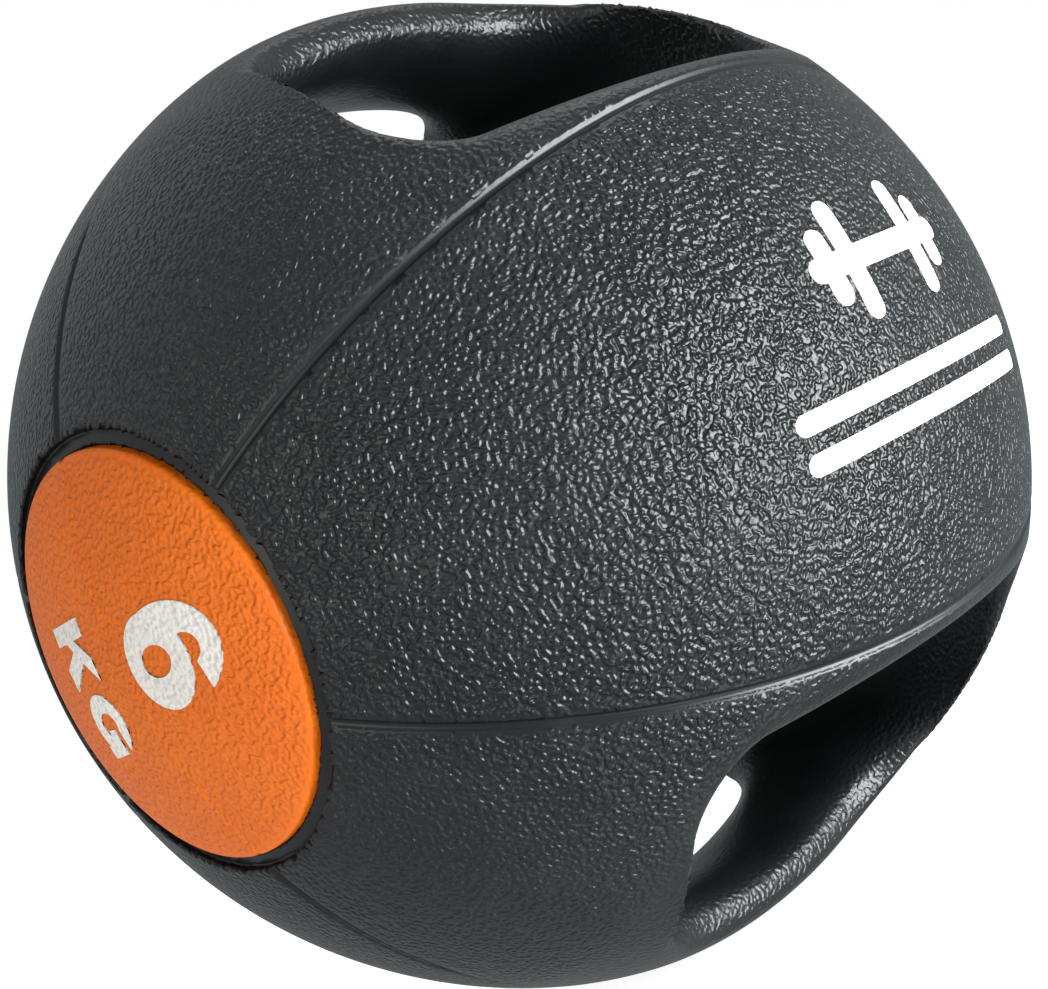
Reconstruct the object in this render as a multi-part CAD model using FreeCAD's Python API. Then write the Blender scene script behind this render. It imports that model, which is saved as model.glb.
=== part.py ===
import FreeCAD, Part
import math
import os

# Rubber medicine ball with two moulded grips. Millimetres.
# Origin at the ball's centre. +Z points through the middle of the top grip, -Z through the bottom
# grip. The ball's poles, where the end discs sit, are on X. The mould parted on the plane y = 0,
# where the front and rear shells meet.

# ball and hollow
BALL_R = 137.0
HOLLOW_R = 107.0
SLOT_WALL = 18.0

# finger slots, one under each grip, open at the front and the back
SLOT_HALF = 0.505 * BALL_R
SLOT_FLOOR = 0.535 * BALL_R
SLOT_CORNER_R = 13.0

# grips: a rounded bar on an arc that bulges a little less than the ball, more arched underneath
# and flared at its roots. The stations are where its outline is set along its length, in slot
# half lengths.
GRIP_TOP = 0.984 * BALL_R
GRIP_ARC_R = 1.54 * BALL_R
GRIP_THICK = 0.132 * BALL_R
GRIP_HALF_WIDTH = 0.18 * BALL_R
GRIP_FLARE = 0.23 * BALL_R
GRIP_UNDER_R = BALL_R
GRIP_NECK = 0.45 * SLOT_HALF
GRIP_STATIONS = (0.46, 0.69, 0.86, 1.0, 1.13)
SECTION_POINTS = 20
SECTION_POWER = 2.3

# sunk lines along the ball's meridians, 60 degrees apart
LINE_TUBE_R = 1.25
LINE_RISE = 0.3
LINE_END_LAP = 1.0
GRIP_LINE_STOP = 0.62 * BALL_R

# end discs in their pockets, each with a channel round it
DISC_R = BALL_R * math.sin(math.radians(21.7))
DISC_THICK = 4.0
CHANNEL_R = BALL_R * math.sin(math.radians(23.4))
CHANNEL_DEPTH = 2.0

# white marks, let in flush
MARK_DEPTH = 0.3
DIGIT_V = 19.5
LETTER_U = 9.0
LETTER_V = -19.0
ICON_AT = (6.0, 15.0)
ICON_STROKE = 6.0
ICON_LENGTH = 54.0
ICON_PLATES = ((13.0, 30.0), (20.5, 19.0))
STRIPES_U = 6.0
STRIPES_V = (-14.0, -23.0)
STRIPE_LENGTH = 96.0
STRIPE_WIDTH = 5.0

# self-sealing plug that closes the hollow, in the middle of the rear panel
PLUG_R = 6.0
PLUG_FLANGE_R = 10.0
PLUG_FLANGE_THICK = 4.0
PLUG_DIMPLE_R = 1.6

FAR = 2.0 * BALL_R
NEAR = 0.01
CENTRE = FreeCAD.Vector(0, 0, 0)
AXIS_X = FreeCAD.Vector(1, 0, 0)
AXIS_Y = FreeCAD.Vector(0, 1, 0)
AXIS_Z = FreeCAD.Vector(0, 0, 1)


def vec(x, y, z):
    return FreeCAD.Vector(x, y, z)


def line(start, end):
    return Part.LineSegment(start, end).toShape()


def arc(start, middle, end):
    return Part.Arc(start, middle, end).toShape()


def box_between(low, high):
    size = high - low
    return Part.makeBox(size.x, size.y, size.z, low)


def bottom_twin(shape):
    """The same shape at the bottom grip: a half turn about X."""
    return shape.rotated(CENTRE, AXIS_X, 180)


def far_twin(shape):
    """The same shape at the far pole: a half turn about Z."""
    return shape.rotated(CENTRE, AXIS_Z, 180)


def ball(radius):
    """Sphere about the origin with its own poles on X."""
    return Part.makeSphere(radius, CENTRE, AXIS_X)


def slot_space(grow):
    """Space under and around the top grip: open upwards, with rounded floor corners."""
    half = SLOT_HALF + grow
    floor = SLOT_FLOOR - grow
    space = box_between(vec(-half, -FAR, floor), vec(half, FAR, FAR))
    corners = []
    for edge in space.Edges:
        middle = edge.CenterOfMass
        if abs(abs(middle.x) - half) < NEAR and abs(middle.z - floor) < NEAR:
            corners.append(edge)
    return space.makeFillet(SLOT_CORNER_R + grow, corners)


def arch(crown, radius, x):
    """Height at x of an arc that is as high as crown at x = 0."""
    return crown - radius + math.sqrt(radius ** 2 - x ** 2)


def grip_section(x):
    """Closed outline of the top grip across its length at x: a soft-cornered oval.

    It widens and thickens towards the roots.
    """
    root = max(0.0, (abs(x) - GRIP_NECK) / (SLOT_HALF - GRIP_NECK))
    half_width = GRIP_HALF_WIDTH + GRIP_FLARE * root ** 3
    top = arch(GRIP_TOP, GRIP_ARC_R, x)
    low = arch(GRIP_TOP - GRIP_THICK, GRIP_UNDER_R, x)
    points = []
    for i in range(SECTION_POINTS):
        c = math.cos(2.0 * math.pi * i / SECTION_POINTS)
        s = math.sin(2.0 * math.pi * i / SECTION_POINTS)
        y = half_width * math.copysign(abs(c) ** (2.0 / SECTION_POWER), c)
        z = 0.5 * (top - low) * math.copysign(abs(s) ** (2.0 / SECTION_POWER), s)
        points.append(vec(x, y, 0.5 * (top + low) + z))
    curve = Part.BSplineCurve()
    curve.interpolate(points, PeriodicFlag=True)
    return Part.Wire([curve.toShape()])


def grip_bar():
    """Top grip as one smooth bar, with roots that reach into the ball."""
    half_stations = [f * SLOT_HALF for f in GRIP_STATIONS]
    stations = [-x for x in reversed(half_stations)] + [0.0] + half_stations
    bar = Part.makeLoft([grip_section(x) for x in stations], True, False)
    return bar.common(ball(BALL_R))


def outer_form():
    """Ball with both slots and both grips, still one closed solid."""
    slot = slot_space(0.0)
    bar = grip_bar()
    return ball(BALL_R).cut(slot).cut(bottom_twin(slot)).fuse(bar).fuse(bottom_twin(bar))


def hollow():
    """Closed air space that keeps a wall behind the ball's surface and both slots."""
    slot = slot_space(SLOT_WALL)
    return ball(HOLLOW_R).cut(slot).cut(bottom_twin(slot))


def meridian_line(angle):
    """Round-bottomed line on two facing meridians, 'angle' degrees round from the top."""
    normal = vec(0, math.cos(math.radians(angle)), math.sin(math.radians(angle)))
    ring = Part.makeTorus(BALL_R + LINE_RISE, LINE_TUBE_R, CENTRE, normal)
    reach = math.sqrt(BALL_R ** 2 - CHANNEL_R ** 2) + LINE_END_LAP
    return ring.common(box_between(vec(-reach, -FAR, -FAR), vec(reach, FAR, FAR)))


def sunk_lines():
    """All the meridian lines. The one on the parting plane stops short of the grips."""
    stop = vec(GRIP_LINE_STOP, FAR, FAR)
    parting = meridian_line(0).cut(box_between(-stop, stop))
    return [parting, meridian_line(60), meridian_line(120)]


def pole_plug(radius, depth):
    """Cap of the ball at the near pole, inside a radius, down to a depth."""
    column = Part.makeCylinder(radius, FAR, CENTRE, vec(-1, 0, 0))
    return column.common(ball(BALL_R)).cut(ball(BALL_R - depth))


def end_pocket():
    return pole_plug(DISC_R, DISC_THICK).fuse(pole_plug(CHANNEL_R, CHANNEL_DEPTH))


def oval(centre, half):
    """Oval prism in a mark's own frame, half[0] along u and half[1] along v."""
    edge = Part.Ellipse(CENTRE, max(half), min(half)).toShape()
    if half[1] > half[0]:
        edge = edge.rotated(CENTRE, AXIS_Z, 90)
    edge.translate(vec(centre[0], centre[1], 0))
    return Part.Face(Part.Wire([edge])).extrude(vec(0, 0, FAR))


def patch(*corners):
    """Straight-sided prism in a mark's own frame."""
    points = [vec(u, v, 0) for u, v in corners]
    return Part.Face(Part.makePolygon(points + points[:1])).extrude(vec(0, 0, FAR))


def bar_patch(centre, length, height):
    """Round-ended bar, as a prism in a mark's own frame."""
    reach = 0.5 * (length - height)
    side = 0.5 * height
    u, v = centre
    right_low, right_high = vec(u + reach, v - side, 0), vec(u + reach, v + side, 0)
    left_low, left_high = vec(u - reach, v - side, 0), vec(u - reach, v + side, 0)
    edges = [line(left_low, right_low)]
    edges.append(arc(right_low, vec(u + reach + side, v, 0), right_high))
    edges.append(line(right_high, left_high))
    edges.append(arc(left_high, vec(u - reach - side, v, 0), left_low))
    return Part.Face(Part.Wire(edges)).extrude(vec(0, 0, FAR))


def digit_six():
    """Heavy 6 about (0, 0), 24 wide and 31 high: an arm that bends over a round bowl."""
    gap = oval((0.2, 5.4), (3.7, 4.4)).fuse(patch((1.5, -4.0), (14.0, -4.0), (14.0, 7.8), (3.4, 6.9)))
    arm = oval((0, 0), (11.9, 15.6)).cut(gap)
    bowl = oval((0.3, -5.1), (11.6, 10.5))
    return arm.fuse(bowl).cut(oval((0.1, -5.3), (3.8, 5.0))).removeSplitter()


def letter_k():
    """Heavy K about (0, 0), 16 wide and 16 high."""
    stem = patch((-8, -8), (-3.4, -8), (-3.4, 8), (-8, 8))
    arm = patch((-3.6, -2.4), (0.6, 1.4), (7.8, 8), (1.8, 8), (-3.6, 2.4))
    leg = patch((-1.2, 0.6), (2.2, -8), (8, -8), (2.2, 2.8))
    return stem.fuse(arm).fuse(leg).removeSplitter()


def letter_g():
    """Heavy G about (0, 0), 16 wide and 16 high."""
    ring = oval((0, 0), (8.0, 8.2)).cut(oval((0, 0), (3.2, 4.0)))
    ring = ring.cut(patch((1.2, 0.6), (9, 0.6), (9, 3.4), (1.2, 3.4)))
    foot = patch((1.2, -2.4), (8, -2.4), (8, 0.9), (1.2, 0.9))
    heel = patch((4.6, -8), (8, -8), (8, 0.9), (4.6, 0.9))
    return ring.fuse(foot).fuse(heel).removeSplitter()


def upright_bar(u, height):
    """Upright bar with round ends, centred at u."""
    plate = bar_patch((0, 0), height, ICON_STROKE).rotated(CENTRE, AXIS_Z, 90)
    plate.translate(vec(u, 0, 0))
    return plate


def dumbbell_icon():
    """Plain dumbbell about (0, 0): a handle with a large and a small plate at each end."""
    icon = bar_patch((0, 0), ICON_LENGTH, ICON_STROKE)
    for out, height in ICON_PLATES:
        icon = icon.fuse(upright_bar(out, height)).fuse(upright_bar(-out, height))
    return icon.removeSplitter()


def placed(prism, at):
    """A mark's prism moved to a place in its own plane."""
    moved = prism.copy()
    moved.translate(vec(at[0], at[1], 0))
    return moved


def inlay(prism, u_axis, v_axis):
    """Thin solid let into the ball's surface where a mark's prism leaves the ball.

    u_axis and v_axis are the row directions of the mark's own axes. Their cross product points out of
    the ball.
    """
    out = u_axis.cross(v_axis)
    turn = FreeCAD.Matrix(u_axis.x, v_axis.x, out.x, 0, u_axis.y, v_axis.y, out.y, 0,
                          u_axis.z, v_axis.z, out.z, 0, 0, 0, 0, 1)
    return prism.transformShape(turn).common(ball(BALL_R)).cut(ball(BALL_R - MARK_DEPTH))


def weight_mark():
    """6 KG on the near disc: it reads downwards, with the tops of its figures towards the front."""
    figures = [placed(digit_six(), (0.0, DIGIT_V)), placed(letter_k(), (-LETTER_U, LETTER_V))]
    figures.append(placed(letter_g(), (LETTER_U, LETTER_V)))
    return Part.Compound([inlay(figure, vec(0, 0, -1), vec(0, -1, 0)) for figure in figures])


def front_mark():
    """Dumbbell pictogram over two plain stripes on the front panel."""
    figures = [placed(dumbbell_icon(), ICON_AT)]
    for v in STRIPES_V:
        figures.append(bar_patch((STRIPES_U, v), STRIPE_LENGTH, STRIPE_WIDTH))
    return Part.Compound([inlay(figure, vec(1, 0, 0), vec(0, 0, 1)) for figure in figures])


def filler_plug():
    """Plug through the rear wall, with a flange inside the hollow and a dimple for the needle."""
    base = vec(0, HOLLOW_R - PLUG_FLANGE_THICK, 0)
    shaft = Part.makeCylinder(PLUG_R, FAR, base, AXIS_Y).common(ball(BALL_R))
    flange = Part.makeCylinder(PLUG_FLANGE_R, PLUG_FLANGE_THICK, base, AXIS_Y)
    plug = shaft.fuse(flange.common(ball(HOLLOW_R)))
    dimple = Part.makeSphere(PLUG_DIMPLE_R, vec(0, BALL_R, 0))
    return plug.cut(dimple)


def shells(marks):
    """The two moulded halves of the body."""
    body = outer_form().cut(hollow())
    for ring in sunk_lines():
        body = body.cut(ring)
    pocket = end_pocket()
    body = body.cut(pocket).cut(far_twin(pocket))
    front = body.common(box_between(vec(-FAR, -FAR, -FAR), vec(FAR, 0, FAR)))
    rear = body.common(box_between(vec(-FAR, 0, -FAR), vec(FAR, FAR, FAR)))
    hole = Part.makeCylinder(PLUG_R, FAR, CENTRE, AXIS_Y)
    return front.cut(marks), rear.cut(hole)


def build():
    """Every piece by its name."""
    front_marks = front_mark()
    front, rear = shells(front_marks)
    weight_marks = weight_mark()
    disc = pole_plug(DISC_R, DISC_THICK).cut(weight_marks)
    pieces = {"front_shell": front, "rear_shell": rear, "left_end_disc": disc}
    pieces["right_end_disc"] = far_twin(disc)
    pieces["left_weight_mark"] = weight_marks
    pieces["right_weight_mark"] = far_twin(weight_marks)
    pieces["front_mark"] = front_marks
    pieces["filler_plug"] = filler_plug()
    return pieces


def main():
    os.makedirs("parts", exist_ok=True)
    for name, shape in build().items():
        shape.exportStep("parts/" + name + ".step")
        litres = round(shape.Volume / 1e6, 4)
        print(name, "valid", shape.isValid(), "solids", len(shape.Solids), "litres", litres)


main()
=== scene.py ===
import math

import bmesh
import bpy
import numpy as np
from mathutils import Matrix, Vector


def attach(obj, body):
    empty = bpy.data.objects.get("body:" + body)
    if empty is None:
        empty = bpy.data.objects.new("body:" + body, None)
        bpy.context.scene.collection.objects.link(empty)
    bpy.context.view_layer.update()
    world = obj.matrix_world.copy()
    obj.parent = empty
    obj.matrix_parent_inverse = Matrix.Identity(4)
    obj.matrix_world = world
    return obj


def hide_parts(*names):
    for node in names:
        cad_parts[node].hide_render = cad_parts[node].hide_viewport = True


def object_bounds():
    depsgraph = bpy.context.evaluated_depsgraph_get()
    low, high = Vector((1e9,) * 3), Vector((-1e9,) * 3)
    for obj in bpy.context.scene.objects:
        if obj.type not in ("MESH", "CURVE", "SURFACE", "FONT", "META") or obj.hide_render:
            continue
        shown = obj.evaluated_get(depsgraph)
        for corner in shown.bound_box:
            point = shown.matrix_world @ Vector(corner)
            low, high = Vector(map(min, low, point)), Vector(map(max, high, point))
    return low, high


# Rubber medicine ball with two grips. Metres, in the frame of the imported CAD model: grips on Z,
# end discs on X, mould parting plane y = 0.

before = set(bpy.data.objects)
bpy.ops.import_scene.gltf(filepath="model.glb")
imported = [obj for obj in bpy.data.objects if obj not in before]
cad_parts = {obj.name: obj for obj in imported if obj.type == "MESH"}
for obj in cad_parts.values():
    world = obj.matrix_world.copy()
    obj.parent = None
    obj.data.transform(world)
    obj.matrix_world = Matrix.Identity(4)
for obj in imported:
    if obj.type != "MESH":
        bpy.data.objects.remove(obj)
cad_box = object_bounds()

MM = 0.001
BALL_R = 0.5 * (cad_box[1].x - cad_box[0].x)

# body, in the ball's own radius where a size follows from it
HOLLOW_R = BALL_R - 30 * MM
SLOT_WALL = 18 * MM
SLOT_HALF = 0.505 * BALL_R
SLOT_FLOOR = 0.535 * BALL_R
SLOT_CORNER_R = 0.096 * BALL_R
RIM_R = 0.035 * BALL_R
GRIP_TOP = 0.984 * BALL_R
GRIP_ARC_R = 1.541 * BALL_R
GRIP_THICK = 0.132 * BALL_R
GRIP_UNDER_R = BALL_R
GRIP_HALF_WIDTH = 0.18 * BALL_R
GRIP_FLARE = 0.23 * BALL_R
FLARE_LIMIT = 1.2
GRIP_NECK = 0.35 * SLOT_HALF
GRIP_END = SLOT_HALF + 0.06 * BALL_R
GRIP_TOP_POWER = 3.2
GRIP_LOW_POWER = 2.3
GRIP_EDGE_R = 0.02 * BALL_R
ROOT_R = 0.05 * BALL_R
ROOT_START = 0.3 * BALL_R

# sunk lines and the mould's parting seam. The line in the parting plane runs out towards the grips.
LINE_TUBE_R = 1.2 * MM
LINE_RISE = 0.3 * MM
PARTING_FULL = 0.72 * BALL_R
PARTING_GONE = 0.62 * BALL_R
SEAM_DEPTH = 0.12 * MM
SEAM_WIDTH = 0.55 * MM
SEAM_FULL = 0.95 * BALL_R
SEAM_GONE = 0.9 * BALL_R

# end discs, with a ridge and two nicks where their own mould parted
DISC_R = BALL_R * math.sin(math.radians(21.7))
DISC_THICK = 4 * MM
DISC_INSET = 0.3 * MM
DISC_EDGE_R = 0.7 * MM
RIDGE_RISE = 0.3 * MM
RIDGE_WIDTH = 0.8 * MM
NICK_R = 1.1 * MM
NICK_OUT = 0.3 * MM
CHANNEL_R = BALL_R * math.sin(math.radians(23.4))
CHANNEL_DEPTH = 2 * MM

# plug hole, small edges and printed ink. A CAD mark's outer points are outside MARK_MIDDLE.
PLUG_HOLE_R = 6.1 * MM
SOFT_EDGE_R = 0.4 * MM
INK_RISE = 0.1 * MM
INK_THICK = 0.35 * MM
MARK_MIDDLE = BALL_R - 0.15 * MM

# share of the grain that is left on grips, rims, slots and the discs' edges
GRAIN_LEFT = 0.3

# grids that the fine meshes start from, and the edge lengths that they are refined to
BODY_STEP = 2.45 * MM
DISC_STEP = 1.3 * MM
BODY_EDGE = 3.2 * MM
RIM_EDGE = 1.5 * MM
SEAM_EDGE = 0.8 * MM
BESIDE_LINE_EDGE = 1.6 * MM
LINE_EDGE = 0.7 * MM
PLUG_EDGE = 0.6 * MM
DISC_EDGE = 1.8 * MM
DISC_RIM_EDGE = 0.6 * MM
INK_EDGE = 3 * MM
SPLIT_RATIO = 1.4
SKIN = 6 * MM

# fitting of points to a surface
NUDGE = 0.02 * MM
LONGEST_MOVE = 1.5 * MM
LEAST_SLOPE_SQUARED = 0.05
TOUCHING = 1e-3 * MM

# stage, in metres
FLOOR_R = 9.0
SURROUND_R = 9.5


def soft_min(a, b, reach):
    """The smaller of two levels, with a fillet about reach wide where they meet."""
    h = np.clip(0.5 + 0.5 * (b - a) / reach, 0, 1)
    return b * (1 - h) + a * h - reach * h * (1 - h)


def soft_max(a, b, reach):
    """The larger of two levels, with an edge rounded over about reach."""
    return -soft_min(-a, -b, reach)


def ramp(value, low, high):
    """0 at low, 1 at high, smooth between."""
    t = np.clip((value - low) / (high - low), 0, 1)
    return t * t * (3 - 2 * t)


def folded(p):
    """x, y and z of the points folded into the corner where all are above 0, and their radius."""
    x, y, z = np.abs(p).T
    return x, y, z, np.linalg.norm(p, axis=1)


def slot_gap(x, z):
    """Distance outside the finger slot's walls, below 0 in the slot. x and z are above 0."""
    side = x - (SLOT_HALF - SLOT_CORNER_R)
    under = SLOT_FLOOR + SLOT_CORNER_R - z
    corner = np.hypot(np.maximum(side, 0), np.maximum(under, 0))
    return corner + np.minimum(np.maximum(side, under), 0) - SLOT_CORNER_R


def arch(crown, radius, x):
    """Height at x of an arc that is as high as crown at x = 0, and level once it gets steep."""
    return crown - radius + np.sqrt(radius ** 2 - np.minimum(x, 0.9 * radius) ** 2)


def grip_level(x, y, z, ball):
    """Below 0 inside the grip: a rounded bar on an arc, wider at its roots."""
    top = arch(GRIP_TOP, GRIP_ARC_R, x)
    low = arch(GRIP_TOP - GRIP_THICK, GRIP_UNDER_R, x)
    half_thick = 0.5 * (top - low)
    root = np.clip((x - GRIP_NECK) / (SLOT_HALF - GRIP_NECK), 0, FLARE_LIMIT)
    half_width = GRIP_HALF_WIDTH + GRIP_FLARE * root ** 3
    across = (z - 0.5 * (top + low)) / half_thick
    power = np.where(across > 0, GRIP_TOP_POWER, GRIP_LOW_POWER)
    oval = np.abs(across) ** power + (y / half_width) ** power
    bar = (oval ** (1 / power) - 1) * half_thick * 0.9
    return soft_max(np.maximum(bar, x - GRIP_END), ball, GRIP_EDGE_R)


def line_gap(x, y, z, radius):
    """Distance from the nearest sunk line's wall, below 0 in a line."""
    gaps = []
    for angle in (0, 60):
        across = y * math.cos(math.radians(angle)) - z * math.sin(math.radians(angle))
        along = np.sqrt(np.maximum(radius ** 2 - across ** 2, 0))
        tube = LINE_TUBE_R * (ramp(x, PARTING_GONE, PARTING_FULL) if angle == 0 else 1.0)
        gaps.append(np.hypot(across, along - BALL_R - LINE_RISE) - tube)
    return np.minimum(*gaps)


def pocket_gap(y, z, radius):
    """Distance outside the end disc's seat and the channel round it."""
    out = np.hypot(y, z)
    channel = np.maximum(out - CHANNEL_R, BALL_R - CHANNEL_DEPTH - radius)
    seat = np.maximum(out - DISC_R, BALL_R - DISC_THICK - radius)
    return np.minimum(channel, seat)


def sunk_gap(x, y, z, radius):
    """Distance outside every sunk line, seat and channel."""
    return np.minimum(line_gap(x, y, z, radius), pocket_gap(y, z, radius))


def form_level(x, y, z, radius):
    """Below 0 inside the ball with its slots and grips."""
    ball = radius - BALL_R
    body = soft_max(ball, -slot_gap(x, z), RIM_R)
    fillet = ROOT_R * (1 + ramp(x, ROOT_START, SLOT_HALF))
    joined = soft_min(body, grip_level(x, y, z, ball), fillet)
    return np.maximum(joined, ball)


def body_level(p):
    """Below 0 inside the moulded body."""
    x, y, z, radius = folded(p)
    seam = SEAM_DEPTH * ramp(radius, SEAM_GONE, SEAM_FULL) * np.exp(-(y / SEAM_WIDTH) ** 2)
    body = form_level(x, y, z, radius) + seam
    body = soft_max(body, -line_gap(x, y, z, radius), SOFT_EDGE_R)
    body = soft_max(body, -pocket_gap(y, z, radius), SOFT_EDGE_R)
    hollow = np.maximum(radius - HOLLOW_R, SLOT_WALL - slot_gap(x, z))
    body = np.maximum(body, -hollow)
    plug_hole = np.where(p[:, 1] > 0, np.hypot(x, z) - PLUG_HOLE_R, BALL_R)
    return soft_max(body, -plug_hole, SOFT_EDGE_R)


def disc_level(p):
    """Below 0 inside the near end disc."""
    _, y, z, radius = folded(p)
    ridge = RIDGE_RISE * np.exp(-(y / RIDGE_WIDTH) ** 2)
    face = radius - (BALL_R - DISC_INSET) - ridge
    disc = soft_max(face, np.hypot(y, z) - DISC_R, DISC_EDGE_R)
    nick = np.hypot(y, z - DISC_R - NICK_OUT) - NICK_R
    disc = soft_max(disc, -nick, SOFT_EDGE_R)
    return soft_max(disc, BALL_R - DISC_THICK - radius, SOFT_EDGE_R)


def gradient(level, p):
    """Slope of level at each point."""
    columns = []
    for axis in np.eye(3) * NUDGE:
        columns.append((level(p + axis) - level(p - axis)) / (2 * NUDGE))
    return np.stack(columns, axis=1)


def settle(level, p, rounds=5):
    """Points moved onto the surface where level is 0. Points on the parting plane stay on it."""
    for _ in range(rounds):
        slope = gradient(level, p)
        size = np.maximum((slope ** 2).sum(1), LEAST_SLOPE_SQUARED)
        move = (level(p) / size)[:, None] * slope
        limit = LONGEST_MOVE / np.maximum(np.linalg.norm(move, axis=1), LONGEST_MOVE)
        p = p - move * limit[:, None]
    p[np.abs(p[:, 1]) < TOUCHING, 1] = 0
    return p


def surface_net(level, axes, step):
    """Triangles of the surface where level is 0, with one vertex in each grid cell that it crosses."""
    corner = np.stack(np.meshgrid(*axes, indexing="ij"), axis=-1)
    shape = corner.shape[:3]
    value = level(corner.reshape(-1, 3)).reshape(shape)
    inside = value < 0
    origin = corner[0, 0, 0]
    cells = [n - 1 for n in shape]
    points, owners, quads = [], [], []
    for axis in range(3):
        unit = np.eye(3, dtype=int)[axis]
        near = tuple(slice(0, n - u) for n, u in zip(shape, unit))
        far = tuple(slice(u, n) for n, u in zip(shape, unit))
        cut = np.argwhere(inside[near] != inside[far])
        start, end = value[tuple(cut.T)], value[tuple((cut + unit).T)]
        crossing = origin + step * (cut + (start / (start - end))[:, None] * unit)
        u = np.eye(3, dtype=int)[(axis + 1) % 3]
        v = np.eye(3, dtype=int)[(axis + 2) % 3]
        around = [cut - u - v, cut - v, cut, cut - u]
        ids = np.stack([np.ravel_multi_index(tuple(c.T), cells) for c in around], axis=1)
        ids[start > 0] = ids[start > 0][:, ::-1]
        quads.append(ids)
        owners += list(ids.T)
        points += [crossing] * 4
    quads = np.concatenate(quads)
    owners, points = np.concatenate(owners), np.concatenate(points)
    used, index = np.unique(owners, return_inverse=True)
    verts = np.stack([np.bincount(index, points[:, i]) for i in range(3)], axis=1)
    verts /= np.bincount(index)[:, None]
    quads = np.searchsorted(used, quads)
    verts = settle(level, verts)
    return verts, np.concatenate([quads[:, [0, 1, 2]], quads[:, [0, 2, 3]]])


def relax(level, verts, tris, rounds=3):
    """Evens out the triangles, and keeps the points on the surface."""
    edges = np.concatenate([tris[:, [0, 1]], tris[:, [1, 2]], tris[:, [2, 0]]])
    edges = np.unique(np.sort(edges, axis=1), axis=0)
    ends = np.concatenate([edges, edges[:, ::-1]])
    count = np.bincount(ends[:, 0], minlength=len(verts))[:, None]
    on_plane = verts[:, 1] == 0
    for _ in range(rounds):
        mean = [np.bincount(ends[:, 0], verts[ends[:, 1], i], len(verts)) for i in range(3)]
        verts = 0.5 * verts + 0.5 * np.stack(mean, axis=1) / count
        verts[on_plane, 1] = 0
        verts = settle(level, verts, 2)
        verts[on_plane, 1] = 0
    return verts


def refine(level, verts, tris, wanted, rounds=3):
    """Splits the edges that are longer than wanted, and settles their new points on the surface."""
    for _ in range(rounds):
        pairs = np.sort(tris[:, [[0, 1], [1, 2], [2, 0]]].reshape(-1, 2), axis=1)
        edges, index = np.unique(pairs, axis=0, return_inverse=True)
        a, b = verts[edges[:, 0]], verts[edges[:, 1]]
        long = np.linalg.norm(a - b, axis=1) > SPLIT_RATIO * wanted(0.5 * (a + b))
        fresh = settle(level, 0.5 * (a + b)[long], 3)
        flat = (a[long, 1] == 0) & (b[long, 1] == 0)
        fresh[flat, 1] = 0
        number = np.full(len(edges), -1)
        number[long] = len(verts) + np.arange(long.sum())
        verts = np.concatenate([verts, fresh])
        tris = split_marked(tris, number[index.reshape(-1)].reshape(-1, 3))
    return verts, tris


def split_marked(tris, middle):
    """Triangles split at the middle points given for their edges, -1 where an edge stays whole."""
    count = (middle >= 0).sum(1)
    made = [tris[count == 0]]
    for turn in range(3):
        t, m = np.roll(tris, -turn, axis=1), np.roll(middle, -turn, axis=1)
        one = (count == 1) & (m[:, 0] >= 0)
        made.append(np.stack([t[one, 0], m[one, 0], t[one, 2]], axis=1))
        made.append(np.stack([m[one, 0], t[one, 1], t[one, 2]], axis=1))
        two = (count == 2) & (m[:, 2] < 0)
        made.append(np.stack([m[two, 0], t[two, 1], m[two, 1]], axis=1))
        made.append(np.stack([t[two, 0], m[two, 0], m[two, 1]], axis=1))
        made.append(np.stack([t[two, 0], m[two, 1], t[two, 2]], axis=1))
    three = count == 3
    t, m = tris[three], middle[three]
    for corner in range(3):
        made.append(np.stack([t[:, corner], m[:, corner], m[:, corner - 1]], axis=1))
    made.append(m)
    return np.concatenate(made)


def body_wanted(p):
    """Edge length wanted on the body: short at the lines, seam, channels, rims and plug hole."""
    x, y, z, radius = folded(p)
    outside = radius > BALL_R - SKIN
    length = np.full(len(p), BODY_EDGE)
    rim = np.hypot(np.maximum(slot_gap(x, z), 0), radius - BALL_R) < RIM_R + 2 * MM
    length[rim] = RIM_EDGE
    length[(y < 1.2 * MM) & (radius > SEAM_GONE)] = SEAM_EDGE
    gap = sunk_gap(x, y, z, radius)
    length[outside & (gap < 2 * MM)] = BESIDE_LINE_EDGE
    length[outside & (gap < 0.7 * MM)] = LINE_EDGE
    plug_rim = np.abs(np.hypot(x, z) - PLUG_HOLE_R) < MM
    length[outside & plug_rim & (p[:, 1] > 0)] = PLUG_EDGE
    return length


def disc_wanted(p):
    """Edge length wanted on a disc: short along its ridge and round its rim."""
    _, y, z, _ = folded(p)
    ridge = y < 1.8 * MM
    rim = np.abs(np.hypot(y, z) - DISC_R) < 1.6 * MM
    return np.where(ridge | rim, DISC_RIM_EDGE, DISC_EDGE)


def half_reach(reach, step):
    """Grid coordinates that mirror about 0 and leave 0 halfway between two of them."""
    half = math.ceil(reach / step) + 2
    return (np.arange(-half, half) + 0.5) * step


def add_object(name, data):
    """Object in the scene that carries a mesh, light or camera."""
    obj = bpy.data.objects.new(name, data)
    bpy.context.scene.collection.objects.link(obj)
    return obj


def mesh_from(name, verts, tris):
    """Mesh of the given points and triangles."""
    mesh = bpy.data.meshes.new(name)
    mesh.from_pydata(verts.tolist(), [], tris.tolist())
    return mesh


def mesh_points(mesh):
    """The mesh's points, one in each row."""
    points = np.zeros(len(mesh.vertices) * 3)
    mesh.vertices.foreach_get("co", points)
    return points.reshape(-1, 3)


def close_parting_face(mesh):
    """Fills the open outlines on the parting plane with one flat face round the hollow and slots."""
    bm = bmesh.new()
    bm.from_mesh(mesh)
    rim = [e for e in bm.edges if e.is_boundary]
    bmesh.ops.triangle_fill(bm, edges=rim, use_beauty=False)
    bmesh.ops.recalc_face_normals(bm, faces=bm.faces)
    bm.to_mesh(mesh)
    bm.free()


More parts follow.
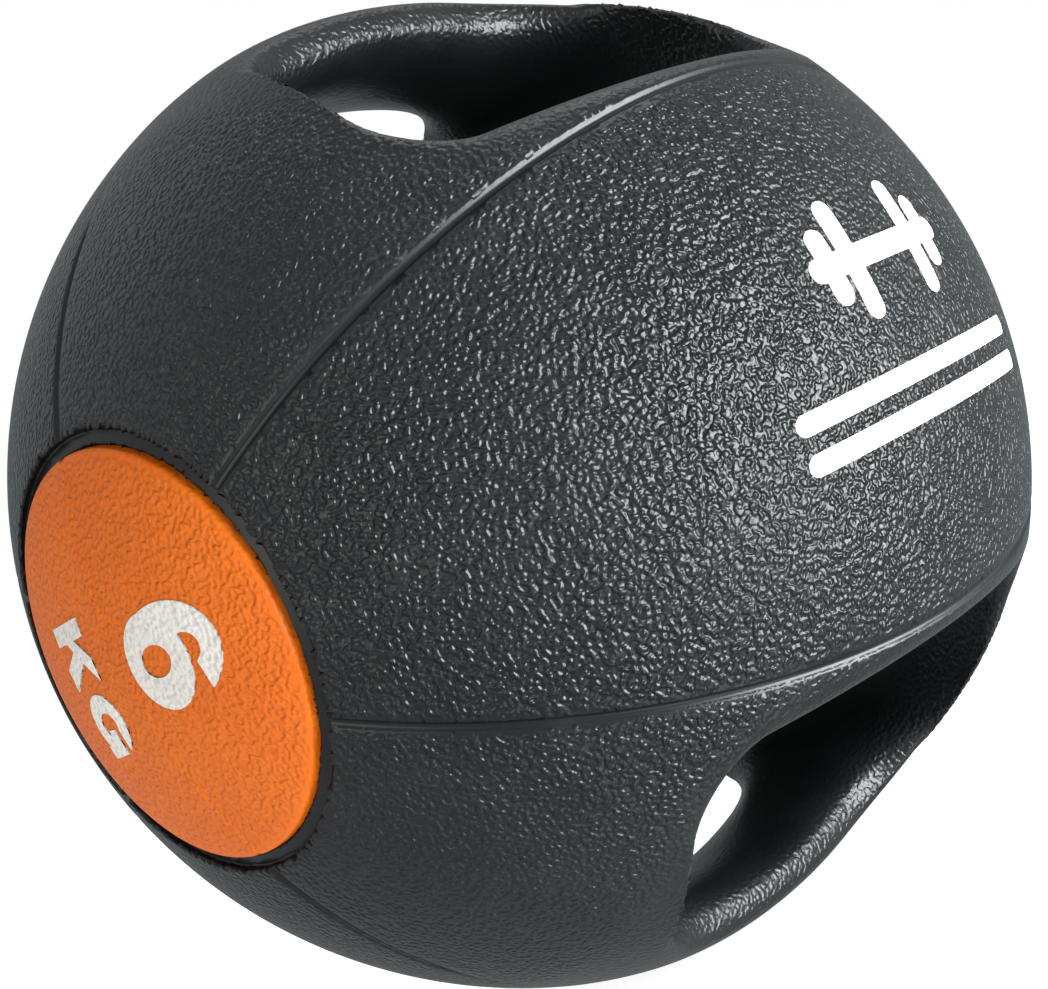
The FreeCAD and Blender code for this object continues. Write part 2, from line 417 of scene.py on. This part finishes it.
def set_normals(mesh, level):
    """Smooth corner normals from the form itself. Faces on the parting plane stay flat."""
    mesh.shade_smooth()
    points = mesh_points(mesh)
    slope = gradient(level, points)
    slope /= np.maximum(np.linalg.norm(slope, axis=1), 1e-9)[:, None]
    corner_vert = np.zeros(len(mesh.loops), int)
    mesh.loops.foreach_get("vertex_index", corner_vert)
    normals = slope[corner_vert]
    flat = np.zeros(len(mesh.polygons) * 3)
    mesh.polygons.foreach_get("normal", flat)
    flat = np.repeat(flat.reshape(-1, 3), 3, axis=0)
    on_plane = (points[corner_vert, 1] == 0).reshape(-1, 3).all(axis=1)
    parting = np.repeat(on_plane, 3)
    normals[parting] = flat[parting]
    mesh.normals_split_custom_set(normals.tolist())


def grain_amount(p):
    """How strong the pebble grain is: full on the panels, fainter on grips, rims and in the slots."""
    x, y, z, radius = folded(p)
    amount = ramp(sunk_gap(x, y, z, radius), 0.2 * MM, 2.2 * MM)
    amount *= GRAIN_LEFT + (1 - GRAIN_LEFT) * ramp(slot_gap(x, z), 2 * MM, 11 * MM)
    return amount * (1 - (1 - GRAIN_LEFT) * ramp(BALL_R - radius, 9 * MM, 16 * MM))


def set_grain(mesh, amount):
    """Stores how strong the grain is at each point, for the materials to read."""
    layer = mesh.attributes.new("grain", "FLOAT", "POINT")
    layer.data.foreach_set("value", amount(mesh_points(mesh)).astype(np.float32))


def body_halves():
    """Front and rear shell, each a closed half with half of both grips, slots and the hollow."""
    axis = half_reach(BALL_R, BODY_STEP)
    verts, tris = surface_net(body_level, (axis, axis, axis), BODY_STEP)
    verts = relax(body_level, verts, tris)
    verts, tris = refine(body_level, verts, tris, body_wanted)
    middle = verts[tris].mean(axis=1)[:, 1]
    halves = []
    for name, mine in (("front_body", middle < 0), ("rear_body", middle > 0)):
        used, index = np.unique(tris[mine], return_inverse=True)
        mesh = mesh_from(name, verts[used], index.reshape(-1, 3))
        close_parting_face(mesh)
        set_normals(mesh, body_level)
        set_grain(mesh, grain_amount)
        halves.append(add_object(name, mesh))
    return halves


def disc_grain(p):
    """Full grain in the middle of a disc, little on its rounded edge."""
    out = np.hypot(p[:, 1], p[:, 2])
    return 1 - (1 - GRAIN_LEFT) * ramp(out, DISC_R - 3 * MM, DISC_R - 0.5 * MM)


def end_discs():
    """The near disc, and its half-turn twin at the far pole."""
    near_pole = np.arange(-BALL_R - 3 * MM, -BALL_R + 20 * MM, DISC_STEP)
    across = half_reach(DISC_R, DISC_STEP)
    verts, tris = surface_net(disc_level, (near_pole, across, across), DISC_STEP)
    verts = relax(disc_level, verts, tris)
    verts, tris = refine(disc_level, verts, tris, disc_wanted)
    mesh = mesh_from("near_disc", verts, tris)
    set_normals(mesh, disc_level)
    set_grain(mesh, disc_grain)
    near = add_object("left_disc", mesh)
    twin = mesh.copy()
    twin.transform(Matrix.Rotation(math.pi, 4, "Z"))
    return near, add_object("right_disc", twin)


def ink_piece(node, name, lift):
    """A printed mark: the CAD mark's own outline, drawn out a little over the surface it is on."""
    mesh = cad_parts[node].data.copy()
    mesh.materials.clear()
    bm = bmesh.new()
    bm.from_mesh(mesh)
    bmesh.ops.remove_doubles(bm, verts=bm.verts, dist=TOUCHING)
    long = [e for e in bm.edges if e.calc_length() > INK_EDGE]
    bmesh.ops.subdivide_edges(bm, edges=long, cuts=2)
    bmesh.ops.triangulate(bm, faces=bm.faces)
    for vert in bm.verts:
        outer = vert.co.length > MARK_MIDDLE
        vert.co = vert.co.normalized() * (BALL_R + (lift if outer else lift - INK_THICK))
    bm.to_mesh(mesh)
    bm.free()
    set_normals(mesh, lambda p: np.linalg.norm(p, axis=1) - BALL_R)
    set_grain(mesh, lambda p: np.ones(len(p)))
    return add_object(name, mesh)


# materials


class Nodes:
    """Short ways to add linked shader nodes to one material."""

    def __init__(self, name):
        self.material = bpy.data.materials.new(name)
        self.material.use_nodes = True
        self.tree = self.material.node_tree
        self.shader = self.tree.nodes["Principled BSDF"]

    def add(self, kind, inputs=None, **settings):
        """New node, with its inputs linked or set."""
        node = self.tree.nodes.new("ShaderNode" + kind)
        for key, value in settings.items():
            setattr(node, key, value)
        for key, value in (inputs or {}).items():
            self.put(node.inputs[key], value)
        return node

    def put(self, socket, value):
        """Links a socket, or sets a plain value."""
        if isinstance(value, bpy.types.NodeSocket):
            self.tree.links.new(value, socket)
        else:
            socket.default_value = value

    def shade(self, name, value):
        """Sets one input of the material's shader."""
        self.put(self.shader.inputs[name], value)

    def math(self, operation, *values):
        node = self.add("Math", operation=operation)
        for socket, value in zip(node.inputs, values):
            self.put(socket, value)
        return node.outputs[0]

    def ramp(self, value, low, high, out_low=0.0, out_high=1.0):
        """out_low where value is low, out_high where it is high, smooth between."""
        inputs = {"Value": value, "From Min": low, "From Max": high}
        inputs.update({"To Min": out_low, "To Max": out_high})
        return self.add("MapRange", inputs, interpolation_type="SMOOTHSTEP").outputs[0]

    def mix(self, share, a, b):
        """Colour from a, where share is 0, to b, where it is 1."""
        node = self.add("Mix", data_type="RGBA")
        for name, kind, value in (("Factor", "VALUE", share), ("A", "RGBA", a), ("B", "RGBA", b)):
            socket = next(s for s in node.inputs if s.name == name and s.type == kind)
            self.put(socket, value)
        return next(s for s in node.outputs if s.type == "RGBA")

    def place(self):
        return self.add("TexCoord").outputs["Object"]

    def noise(self, scale, detail, roughness):
        inputs = {"Vector": self.place(), "Scale": scale, "Detail": detail, "Roughness": roughness}
        return self.add("TexNoise", inputs).outputs["Fac"]


def pebble_grain(nodes):
    """Height of moulded leather grain, 0 in the creases and 1 on the pebbles, about 1.3 mm apart."""
    ridges = nodes.ramp(nodes.noise(760.0, 0.0, 0.5), 0.3, 0.7)
    cells = nodes.add("TexVoronoi", {"Vector": nodes.place(), "Scale": 640.0}, feature="F1")
    pebble = nodes.ramp(cells.outputs["Distance"], 0.8, 0.05)
    return nodes.math("MULTIPLY_ADD", ridges, 0.65, nodes.math("MULTIPLY", pebble, 0.35))


def grain_bump(nodes, height, depth):
    """Bump from the grain, as strong as the mesh's own grain amount says."""
    amount = nodes.add("Attribute", attribute_name="grain").outputs["Fac"]
    inputs = {"Height": nodes.math("MULTIPLY", height, amount), "Distance": depth, "Strength": 1.0}
    return nodes.add("Bump", inputs).outputs["Normal"]


def body_rubber():
    """Black moulded rubber with pebble grain, in patches a little paler and duller."""
    nodes = Nodes("body_rubber")
    grain = pebble_grain(nodes)
    patches = nodes.ramp(nodes.noise(14.0, 4.0, 0.6), 0.35, 0.7)
    black = nodes.mix(patches, (0.006, 0.0065, 0.007, 1), (0.011, 0.0115, 0.012, 1))
    dust = nodes.math("MULTIPLY", nodes.ramp(nodes.noise(60.0, 6.0, 0.7), 0.5, 0.8), 0.35)
    nodes.shade("Base Color", nodes.mix(dust, black, (0.022, 0.023, 0.023, 1)))
    nodes.shade("Roughness", nodes.math("MULTIPLY_ADD", patches, 0.08, 0.30))
    nodes.shade("Normal", grain_bump(nodes, grain, 0.75 * MM))
    return nodes.material


def disc_rubber():
    """Orange moulded rubber with the same grain, and painted shade that darkens its creases a little.
    """
    nodes = Nodes("disc_rubber")
    grain = pebble_grain(nodes)
    clouds = nodes.ramp(nodes.noise(30.0, 4.0, 0.6), 0.35, 0.7)
    orange = nodes.mix(clouds, (0.70, 0.128, 0.002, 1), (0.74, 0.146, 0.003, 1))
    # painted shade: the orange is darkened a little in the grain's creases, where shade falls
    painted_crease_shade = nodes.ramp(grain, 0.35, 0.05)
    orange = nodes.mix(nodes.math("MULTIPLY", painted_crease_shade, 0.15), orange, (0.50, 0.085, 0.003, 1))
    nodes.shade("Base Color", orange)
    nodes.shade("Roughness", nodes.math("MULTIPLY_ADD", clouds, 0.08, 0.42))
    nodes.shade("Specular IOR Level", 0.28)
    nodes.shade("Normal", grain_bump(nodes, grain, 0.6 * MM))
    return nodes.material


def print_ink():
    """White ink over the grain, thinner in the creases."""
    nodes = Nodes("print_ink")
    grain = pebble_grain(nodes)
    thin = nodes.math("MULTIPLY", nodes.ramp(grain, 0.28, 0.05), 0.55)
    tone = nodes.ramp(nodes.noise(45.0, 3.0, 0.6), 0.3, 0.7)
    white = nodes.mix(tone, (0.69, 0.65, 0.59, 1), (0.77, 0.73, 0.67, 1))
    nodes.shade("Base Color", nodes.mix(thin, white, (0.50, 0.46, 0.42, 1)))
    nodes.shade("Roughness", nodes.math("MULTIPLY_ADD", tone, 0.1, 0.42))
    nodes.shade("Normal", grain_bump(nodes, grain, 0.35 * MM))
    return nodes.material


def plug_rubber():
    """Softer, duller black rubber of the filler plug."""
    nodes = Nodes("plug_rubber")
    speck = nodes.noise(700.0, 3.0, 0.6)
    nodes.shade("Base Color", nodes.mix(speck, (0.012, 0.012, 0.013, 1), (0.03, 0.03, 0.03, 1)))
    nodes.shade("Roughness", nodes.ramp(speck, 0.3, 0.7, 0.5, 0.65))
    bump = nodes.add("Bump", {"Height": speck, "Distance": 0.05 * MM, "Strength": 1.0})
    nodes.shade("Normal", bump.outputs["Normal"])
    return nodes.material


def stage_paper():
    """White paper, lit from behind so that it runs into the white surround."""
    nodes = Nodes("stage_paper")
    fibre = nodes.noise(8.0, 3.0, 0.5)
    nodes.shade("Base Color", nodes.mix(fibre, (0.78, 0.78, 0.78, 1), (0.82, 0.82, 0.82, 1)))
    nodes.shade("Roughness", 0.9)
    nodes.shade("Emission Color", (1, 1, 1, 1))
    nodes.shade("Emission Strength", 0.85)
    return nodes.material


def surround_white():
    """Even white glow of the surround."""
    nodes = Nodes("surround_white")
    emission = nodes.add("Emission", {"Color": (1, 1, 1, 1), "Strength": 1.0})
    nodes.put(nodes.tree.nodes["Material Output"].inputs["Surface"], emission.outputs[0])
    return nodes.material


# stage, lights and camera


def add_shape(name, make, **settings):
    """Object with the mesh that one of bmesh's ready-made shapes gives."""
    bm = bmesh.new()
    make(bm, **settings)
    mesh = bpy.data.meshes.new(name)
    bm.to_mesh(mesh)
    bm.free()
    return add_object(name, mesh)


def build_stage():
    """White floor under the ball, and a white surround that lights nothing. The ball doesn't mirror
    either of them, and the floor lets the light from below through."""
    disc = {"cap_ends": True, "radius": FLOOR_R, "segments": 96}
    floor = add_shape("stage_floor", bmesh.ops.create_circle, **disc)
    floor.location.z = cad_box[0].z
    floor.data.materials.append(stage_paper())
    globe = {"radius": SURROUND_R, "u_segments": 48, "v_segments": 24}
    dome = add_shape("stage_surround", bmesh.ops.create_uvsphere, **globe)
    dome.data.materials.append(surround_white())
    dome.visible_diffuse = False
    for sheet in (floor, dome):
        sheet.visible_glossy = False
        sheet.visible_shadow = False


def soft_light(name, at, size, power, tint=(1, 1, 1)):
    """Round area light at a place in ball radii, aimed at the ball. Size in metres, power in watts."""
    data = bpy.data.lights.new(name, "AREA")
    data.shape = "DISK"
    data.size = size
    data.energy = power
    data.color = tint
    light = add_object(name, data)
    light.location = Vector(at) * BALL_R
    light.rotation_euler = light.location.to_track_quat("Z", "Y").to_euler()


def build_lights():
    """A key light in front of the ball, weak lights round it, and a pale, even sky."""
    soft_light("key", (2.4, -9.0, -1.4), 1.05, 47, (0.93, 0.985, 1.0))
    soft_light("top", (4.0, -0.5, 8.0), 0.7, 1.5)
    soft_light("back", (-1.0, 6.0, 7.0), 0.9, 0.5)
    soft_light("side", (-9.0, -1.0, 2.0), 0.9, 3, (1.0, 0.97, 0.93))
    soft_light("under", (-2.0, -5.0, -8.0), 0.9, 3, (0.88, 0.94, 1.0))
    world = bpy.data.worlds.new("studio")
    world.use_nodes = True
    background = world.node_tree.nodes["Background"]
    background.inputs["Color"].default_value = (0.90, 0.97, 1.0, 1)
    background.inputs["Strength"].default_value = 0.40
    bpy.context.scene.world = world


def build_camera():
    """Camera rolled over, close to the ball and level with its middle."""
    ahead = Vector((0.7201, 0.6902, -0.0714)).normalized()
    up = Vector((0.3424, -0.2640, 0.9017))
    side = ahead.cross(up).normalized()
    up = side.cross(ahead)
    place = Vector((-2.532, -2.807, 0.0)) * BALL_R
    turn = Matrix((side, up, -ahead)).transposed().to_4x4()
    camera = add_object("camera", bpy.data.cameras.new("camera"))
    camera.matrix_world = Matrix.Translation(place) @ turn
    camera.data.sensor_width = 36.0
    camera.data.lens = 63.5
    camera.data.shift_x = -0.179
    camera.data.shift_y = 0.048
    camera.data.clip_start = 0.01
    bpy.context.scene.camera = camera


def dress(piece, material, node):
    """Gives a piece its material and its body, and hides the CAD node that it stands for."""
    piece.data.materials.clear()
    piece.data.materials.append(material)
    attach(piece, "root")
    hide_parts(node)


def build_ball():
    """Every piece of the ball, with its material. The filler plug is the CAD model's own."""
    rubber, orange, ink = body_rubber(), disc_rubber(), print_ink()
    front, rear = body_halves()
    dress(front, rubber, "front_shell")
    dress(rear, rubber, "rear_shell")
    for side, disc in zip(("left", "right"), end_discs()):
        dress(disc, orange, side + "_end_disc")
        mark = ink_piece(side + "_weight_mark", side + "_weight_ink", 0)
        dress(mark, ink, side + "_weight_mark")
    dress(ink_piece("front_mark", "front_ink", INK_RISE), ink, "front_mark")
    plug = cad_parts["filler_plug"]
    plug.material_slots[0].link = "OBJECT"
    plug.material_slots[0].material = plug_rubber()


build_camera()
build_lights()
build_stage()
build_ball()
bpy.context.scene.view_settings.view_transform = "Standard"

bpy.context.view_layer.update()
